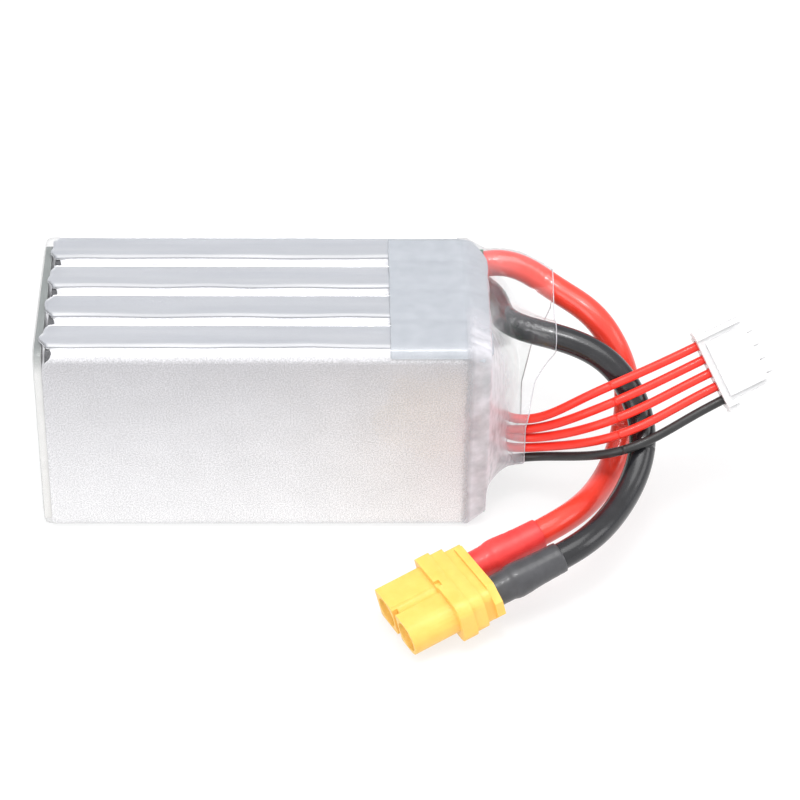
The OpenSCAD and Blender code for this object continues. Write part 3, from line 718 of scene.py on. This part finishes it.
def seam_tongue(name, stack_hi, middle_y, half_t, lo, index):
    """Folded seam: a thin wavy strip on the pouch's top with cut corners, tucked under its neighbour."""
    top = stack_hi[2] + POUCH_OVER
    y_back = middle_y + half_t - 0.15 * MM
    y_front = y_back - SEAM_WIDTH
    x0, x1 = lo[0] - 0.1 * MM, stack_hi[0] + 0.8 * MM
    rows, columns = 110, 20
    points = []
    for side in (0, 1):
        for i in range(rows):
            s = i / (rows - 1)
            x = x0 + (x1 - x0) * s
            for j in range(columns):
                t = j / (columns - 1)
                edge = noise.noise(Vector((x * 110, index * 3.7, 1.3))) * 0.28 * MM
                y = y_front + edge + (y_back - y_front - edge) * t
                ragged = noise.noise(Vector((t * 3.1, index * 7.3, 0.4))) * 0.7 * MM
                inset = (corner_cut(t, 0.9 * MM) + ragged) * (1 - smoothstep(s * 14))
                ripple = noise.noise(Vector((x * 60, t * 2, index)))
                lift = 0.34 * MM * (1 - 0.55 * t) + 0.10 * MM * ripple
                droop = -0.22 * MM * (1 - smoothstep(t * 6))
                z = top + 0.02 * MM + (lift + droop if side else -0.05 * MM)
                points.append((x + inset, y, z))
    return add_mesh(name, points, sheet_faces(rows, columns), "pouch_seam")


def corner_cut(t, depth):
    """How far a tongue's end is set back at a share t of its width."""
    from_edge = min(t, 1 - t)
    return depth * (1 - smoothstep(from_edge / 0.3))


# ---------------------------------------------------------------- tape

TAPE_THICKNESS = 0.10 * MM


def build_tape():
    """Tape over the seams at the terminal end, from the back shoulder round to the foot of the front one.

    It dips between the cells and folds down over the board.
    """
    lo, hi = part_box("terminal_tape")
    top = hi.z - 0.02 * MM
    rows, columns = 90, 130
    profile = tape_profile(top, columns)
    points = []
    for side in (0, 1):
        for i in range(rows):
            for y, z, normal_y, normal_z in profile:
                start = lo.x + 0.12 * MM * noise.noise(Vector((y * 300, 0, 4)))
                x = start + (tape_end(y) - start) * i / (rows - 1)
                over = max(0.0, x - CELL_END - 1.2 * MM)
                fold = 1.9 * MM * (over / (4.3 * MM)) ** 1.6
                wave = 0.09 * MM * noise.noise(Vector((x * 130, y * 130, 2)))
                crease = 0.13 * MM * noise.noise(Vector((x * 420, y * 260, 9)))
                crease *= smoothstep(over / (2 * MM))
                relief = wave + crease - cell_valleys(y) * 0.11 * MM
                lift = relief * normal_z + (TAPE_THICKNESS if side else 0)
                inward = 0.25 * fold * y / PACK_SIDE
                points.append((x, y + normal_y * lift - inward, z + normal_z * lift - fold))
    tape = add_mesh("grey_tape_sheet", points, sheet_faces(rows, columns), "grey_tape")
    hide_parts("terminal_tape")
    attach(tape, "pack")


def tape_profile(top, count):
    """The tape's section, round the front shoulder, flat, then over the back one.

    A row is (Y, Z, normal Y, normal Z).
    """
    radius, front_turn, back_turn = 1.75 * MM, math.radians(72), math.radians(35)
    flat = PACK_SIDE - 0.12 * MM - radius
    length = radius * (front_turn + back_turn) + 2 * flat
    rows = []
    for run in np.linspace(-flat - radius * front_turn, length - flat - radius * front_turn, count):
        y = min(max(run, -flat), flat)
        turn = (run - y) / radius
        out_y, out_z = math.sin(turn), math.cos(turn)
        rows.append((y + radius * out_y, top - radius * (1 - out_z), out_y, out_z))
    return rows


def tape_end(y):
    """Where along X the tape ends: past the board, cut back at the rear corner and a bit at the front."""
    back = smoothstep((y - (PACK_SIDE - 4.5 * MM)) / (4.5 * MM))
    front = smoothstep((-y - (PACK_SIDE - 2 * MM)) / (2 * MM))
    ragged = 0.25 * MM * noise.noise(Vector((y * 350, 3, 8)))
    return BOARD_FACE + 0.5 * MM - 3.0 * MM * back - 1.6 * MM * front + ragged


def cell_valleys(y):
    """1 at the front shoulder of each cell, 0 over its seam."""
    return float(np.max(1 - smoothstep(np.abs(y - CELL_FRONTS - 0.6 * MM) / (1.6 * MM))))


# ---------------------------------------------------------------- clear film

FILM_THICKNESS = 0.08 * MM


def rounded_loop(half_w, low, high, r, count):
    """Points at even spacing round a rounded rectangle in Y and Z, from the middle of its bottom."""
    corners = [
        (half_w - r, low + r, -90),
        (half_w - r, high - r, 0),
        (-half_w + r, high - r, 90),
        (-half_w + r, low + r, 180),
    ]
    points = [(0.0, low)]
    for y, z, a0 in corners:
        for angle in np.radians(np.linspace(a0, a0 + 90, 12)):
            points.append((y + r * math.cos(angle), z + r * math.sin(angle)))
    points.append((0.0, low))
    points = np.array(points)
    run = run_along(points)
    even = np.linspace(0, run[-1], count, endpoint=False)
    return np.stack([np.interp(even, run, points[:, axis]) for axis in range(2)], axis=1)


def with_x(loop, x):
    """The loop's (Y, Z) points as (X, Y, Z), at one X or at one for every point."""
    return np.concatenate([np.broadcast_to(x, (len(loop),))[:, None], loop], axis=1)


def sleeve_rings(count):
    """Rings of film over the cells, from the opening at the closed end to the board."""
    start_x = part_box("clear_shrink_wrap")[0].x
    half, top, corner = PACK_SIDE, PACK_TOP, 1.8
    # How far a ring round the opening is inside the pack's outline, and its X from the film's end, in mm.
    turned_in = [(5.8, 0.0), (4.0, -0.02), (2.2, -0.02), (1.2, 0.02),
                 (0.6, 0.16), (0.22, 0.45), (0.05, 1.0)]
    rings = []
    for inset, x in turned_in:
        radius = max(1.9, corner + inset * 0.5) * MM
        loop = rounded_loop(half - inset * MM, inset * MM, top - inset * MM, radius, count)
        rings.append(with_x(loop, start_x + x * MM))
    taper_start, taper_end = CELL_END + 2.1 * MM, BOARD_FACE + 0.1 * MM
    for x in np.linspace(start_x + 2 * MM, taper_start, 60):
        rings.append(with_x(rounded_loop(half, 0.0, top, corner * MM, count), x))
    board_lo, board_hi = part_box("tab_board")
    for share in np.linspace(0, 1, 9)[1:]:
        narrow = (half - board_hi.y - 0.35 * MM) * share
        low = (board_lo.z - 0.4 * MM) * share
        high = top - (top - board_hi.z - 1.0 * MM) * share
        loop = rounded_loop(half - narrow, low, high, corner * MM, count)
        rings.append(with_x(loop, taper_start + (taper_end - taper_start) * share))
    return rings


def push_out(points, centres, clearances):
    """Moves points that are closer to a wire's centre than its clearance straight out to it."""
    delta = points[:, None] - centres[None]
    depth = clearances - np.linalg.norm(delta, axis=2)
    k = depth.argmax(axis=1)
    rows = np.arange(len(points))
    inside = depth[rows, k] > 0
    away = delta[rows, k][inside]
    away /= np.maximum(np.linalg.norm(away, axis=1), 1e-9)[:, None]
    points[inside] = centres[k[inside]] + away * clearances[k[inside]][:, None]
    return points


def free_edge_x(z):
    """Where along X the film's free edge lies: far out on the leads, short at the balance wires."""
    bundle, leads = SWING[0] + 0.4 * MM, SWING[0] + 5.4 * MM
    low, high = SWING[2] - 3.6 * MM, SWING[2] + 3.5 * MM
    return np.interp(z, [2 * MM, low, high, high + 6 * MM, high + 11 * MM],
                     [BOARD_FACE + 1.2 * MM, bundle, bundle, bundle + 1.6 * MM, leads])


def build_film(obstacles):
    """Shrink film: a sleeve on the cells, and a hood that shrinks from the sleeve's size onto the wires.

    obstacles are (centreline, clearance) pairs, one for each wire.
    """
    count, hood_rows = 160, 40
    sleeve = sleeve_rings(count)
    base = sleeve[-1]
    edge = free_edge_x(base[:, 2])
    shares = np.arange(1, hood_rows + 1) / hood_rows
    rows = [with_x(base[:, 1:], base[0, 0] + (edge - base[0, 0]) * s) for s in shares]
    hood = shrunk(np.array([base] + rows), obstacles)
    rings = wrinkled(np.concatenate([np.array(sleeve), hood[1:]]), len(sleeve))
    faces = grid_faces(len(rings), count, wrap=True)
    film = add_mesh("shrink_film", rings.reshape(-1, 3), [f[::-1] for f in faces], "clear_film")
    solid = film.modifiers.new("thickness", "SOLIDIFY")
    solid.thickness = FILM_THICKNESS
    solid.offset = 0
    edge_line = np.concatenate([rings[-1], rings[-1][:1]])
    bead = tube("film_free_edge", edge_line, BEAD_R, BEAD_SIDES, "film_edge")
    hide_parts("clear_shrink_wrap")
    for piece in (film, bead):
        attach(piece, "pack")


def pack_end(line, x):
    """The part of a wire's centreline from where it last crosses the plane at x to the board."""
    return line[np.nonzero(line[:, 0] > x)[0][-1]:]


def spine_at(obstacles, x):
    """What the hood shrinks towards: the wires' centres at the plane at x, joined up in Y and Z."""
    centres = [pack_end(line, x)[0, 1:] for line, _ in obstacles]
    order = sorted(centres, key=lambda centre: -centre[1])
    per_gap = 12
    dense = [a + (b - a) * k / per_gap for a, b in zip(order, order[1:]) for k in range(per_gap)]
    return np.array(dense + [order[-1]])


def relaxed(hood):
    """The hood after one smoothing: every point moves to the middle of its neighbours, as in taut film."""
    around = (np.roll(hood, 1, axis=1) + np.roll(hood, -1, axis=1)) / 2
    along = hood.copy()
    along[1:-1] = (hood[:-2] + hood[2:]) / 2
    along[-1] = hood[-2]
    moved = around * 0.5 + along * 0.5
    moved[-1] = around[-1] * 0.7 + hood[-1] * 0.3
    moved[-1, :, 0] = free_edge_x(moved[-1, :, 2])
    return moved


def pulled_in(points, spine, pull):
    """Moves points in Y and Z towards the nearest part of the spine, by pull but not past it."""
    to_spine = spine[None] - points[:, None, 1:]
    distance = np.linalg.norm(to_spine, axis=2)
    k = distance.argmin(axis=1)
    rows = np.arange(len(points))
    nearest = distance[rows, k]
    towards = to_spine[rows, k] / np.maximum(nearest, 1e-9)[:, None]
    points[:, 1:] += towards * np.minimum(pull, nearest)[:, None]
    return points


def shrunk(hood, obstacles, rounds=170):
    """Draws the hood in towards the wires while it stays taut and off them.

    Its base stays where it is, and its free edge stays on free_edge_x.
    """
    first_pull = 0.24 * MM
    start_x = hood[0, 0, 0]
    reach = hood[-1, :, 0].max() + 3 * MM
    spine = spine_at(obstacles, SWING[0] + 1 * MM)
    cores = [(pack_end(line, reach)[::2], clearance) for line, clearance in obstacles]
    centres = np.concatenate([line for line, _ in cores])
    clearances = np.concatenate([np.full(len(line), clearance) for line, clearance in cores])
    behind_edge = np.repeat(np.arange(len(hood) - 2, -1, -1) * 0.06 * MM, hood.shape[1])
    for count in range(rounds):
        flat = relaxed(hood)[1:].reshape(-1, 3)
        pull = first_pull * (1 - count / rounds) * smoothstep((flat[:, 0] - start_x) / (7 * MM))
        flat = push_out(pulled_in(flat, spine, pull), centres, clearances)
        flat[:, 0] = np.minimum(flat[:, 0], free_edge_x(flat[:, 2]) - behind_edge)
        hood[1:] = flat.reshape(hood[1:].shape)
    return hood


def wrinkled(rings, hood_start):
    """Adds fine pleats to the hood and a faint ripple to the sleeve, along the surface's own normals."""
    lengthwise = np.gradient(rings, axis=0)
    crosswise = (np.roll(rings, -1, axis=1) - np.roll(rings, 1, axis=1)) / 2
    normals = np.cross(crosswise, lengthwise)
    normals /= np.maximum(np.linalg.norm(normals, axis=2), 1e-12)[..., None]
    out = rings.copy()
    for i in range(len(rings)):
        hood_share = smoothstep((i - hood_start) / 8)
        for j in range(rings.shape[1]):
            x, y, z = rings[i, j]
            pleat = noise.noise(Vector((x * 120, y * 420, z * 420))) * 0.05 * MM * hood_share
            ripple = noise.noise(Vector((x * 60, y * 160, z * 160 + 7))) * 0.035 * MM
            out[i, j] += normals[i, j] * (pleat + ripple)
    return out


# ---------------------------------------------------------------- connectors from their CAD bodies


def moulded(node, name, material, body, bevel):
    """A copy of a CAD body with its flat facets merged and its edges rounded like a moulding."""
    mesh = frame["nodes"][node].data.copy()
    work = bmesh.new()
    work.from_mesh(mesh)
    bmesh.ops.remove_doubles(work, verts=work.verts, dist=0.004 * MM)
    bmesh.ops.dissolve_limit(work, angle_limit=math.radians(1.0), verts=work.verts, edges=work.edges)
    work.to_mesh(mesh)
    work.free()
    piece = bpy.data.objects.new(name, mesh)
    bpy.context.scene.collection.objects.link(piece)
    mesh.materials.clear()
    mesh.materials.append(MATERIALS[material])
    mesh.shade_smooth()
    rounder = piece.modifiers.new("edges", "BEVEL")
    rounder.width = bevel
    rounder.segments = 2
    rounder.limit_method = "ANGLE"
    rounder.angle_limit = math.radians(35)
    rounder.harden_normals = True
    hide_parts(node)
    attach(piece, body)


# ---------------------------------------------------------------- studio


def aim(thing, target):
    """Turns a light to face the target."""
    direction = Vector(target) - thing.location
    thing.rotation_euler = direction.to_track_quat("-Z", "Y").to_euler()


def soft_box(name, place, target, size, power):
    """An area light of this size in metres and power in watts."""
    data = bpy.data.lights.new(name, "AREA")
    data.shape = "RECTANGLE"
    data.size, data.size_y = size
    data.energy = power
    light = bpy.data.objects.new(name, data)
    bpy.context.scene.collection.objects.link(light)
    light.location = place
    aim(light, target)


def build_world():
    """White studio: a bright ceiling and camera side, and a greyer wall behind the object."""
    world = bpy.data.worlds.new("studio")
    bpy.context.scene.world = world
    world.use_nodes = True
    tree = world.node_tree
    background = tree.nodes["Background"]
    source = tree.nodes.new("ShaderNodeTexCoord")
    axes = tree.nodes.new("ShaderNodeSeparateXYZ")
    tree.links.new(source.outputs["Generated"], axes.inputs["Vector"])
    camera_side = -0.75  # the camera is on the -Y side, so directions that way count as higher
    lean = value_node(tree, "MULTIPLY_ADD", axes.outputs["Y"], camera_side, axes.outputs["Z"])
    spread = map_range(tree, lean, -0.75, 1.2)
    shade = ramp(tree, spread, (0.0, (0.72, 0.73, 0.76)), (0.42, (0.66, 0.68, 0.72)),
                 (0.60, (1.0, 1.0, 1.0)), (1.0, (1.15, 1.15, 1.15)))
    tree.links.new(shade, background.inputs["Color"])
    background.inputs["Strength"].default_value = 0.95


def build_floor():
    """Pale floor that glows enough to stay white, with a faint contact shadow."""
    bpy.ops.mesh.primitive_plane_add(size=6.0, location=(0, 0, -0.02 * MM))
    floor = bpy.context.object
    floor.name = "studio_floor"
    material, tree, shader = principled("floor", roughness=0.9)
    cloud = noise_node(tree, per_metre=3.0)
    paint = ramp(tree, cloud, (0.3, (0.86, 0.86, 0.86)), (0.7, (0.88, 0.88, 0.88)))
    tree.links.new(paint, shader.inputs["Base Color"])
    glow = tree.nodes.new("ShaderNodeEmission")
    glow_share = 0.72
    surface = mixed(tree, glow_share, shader.outputs["BSDF"], glow.outputs["Emission"])
    tree.links.new(surface, tree.nodes["Material Output"].inputs["Surface"])
    floor.data.materials.append(material)


def build_camera():
    """Camera above the front, a little to the left, with the pack left of the picture's middle."""
    azimuth, elevation, roll = math.radians(-1.85), math.radians(38.57), math.radians(1.18)
    distance, target = 516.3 * MM, Vector((24.15, 0, 14.63)) * MM
    back = Vector((math.sin(azimuth) * math.cos(elevation), -math.cos(azimuth) * math.cos(elevation),
                   math.sin(elevation)))
    data = bpy.data.cameras.new("camera")
    data.lens = 135.3
    data.sensor_width = 36.0
    data.clip_start, data.clip_end = 0.01, 20.0
    camera = bpy.data.objects.new("camera", data)
    bpy.context.scene.collection.objects.link(camera)
    right = Vector((math.cos(azimuth), math.sin(azimuth), 0))
    up = back.cross(right)
    tilted_right = right * math.cos(roll) + up * math.sin(roll)
    tilted_up = up * math.cos(roll) - right * math.sin(roll)
    turn = Matrix((tilted_right, tilted_up, back)).transposed()
    camera.matrix_world = Matrix.Translation(target + back * distance) @ turn.to_4x4()
    bpy.context.scene.camera = camera


def build_studio():
    """White surroundings, floor, camera and four soft boxes."""
    scene = bpy.context.scene
    scene.view_settings.view_transform = "Standard"
    build_world()
    build_floor()
    build_camera()
    middle = (20 * MM, 0, 15 * MM)
    soft_box("overhead", (0.05, -0.10, 0.75), middle, size=(0.7, 0.5), power=2.7)
    soft_box("spark", (0.02, -0.16, 0.6), middle, size=(0.12, 0.09), power=0.7)
    soft_box("front_left", (-0.55, -0.65, 0.45), middle, size=(0.5, 0.5), power=2.0)
    soft_box("right", (0.8, -0.2, 0.4), middle, size=(0.4, 0.4), power=1.2)


# ---------------------------------------------------------------- build


paint_cad_nodes()
lead_lines = [build_lead(colour) for colour in BORES]
sense_lines = [build_sense_wire(index) for index in range(SENSE_COUNT)]
for lead_colour in BORES:
    build_sleeve(lead_colour)
for cell in range(len(CELLS)):
    build_pouch(cell)
build_tape()
lead_obstacles = [(line, LEAD_R + FILM_GAP) for line in lead_lines]
sense_obstacles = [(line, SENSE_R + FILM_GAP) for line in sense_lines]
build_film(lead_obstacles + sense_obstacles)
moulded("power_connector_housing", "yellow_connector", "connector_nylon", "power_connector",
        bevel=0.22 * MM)
moulded("balance_plug_housing", "white_balance_plug", "plug_nylon", "balance_plug", bevel=0.12 * MM)
build_studio()
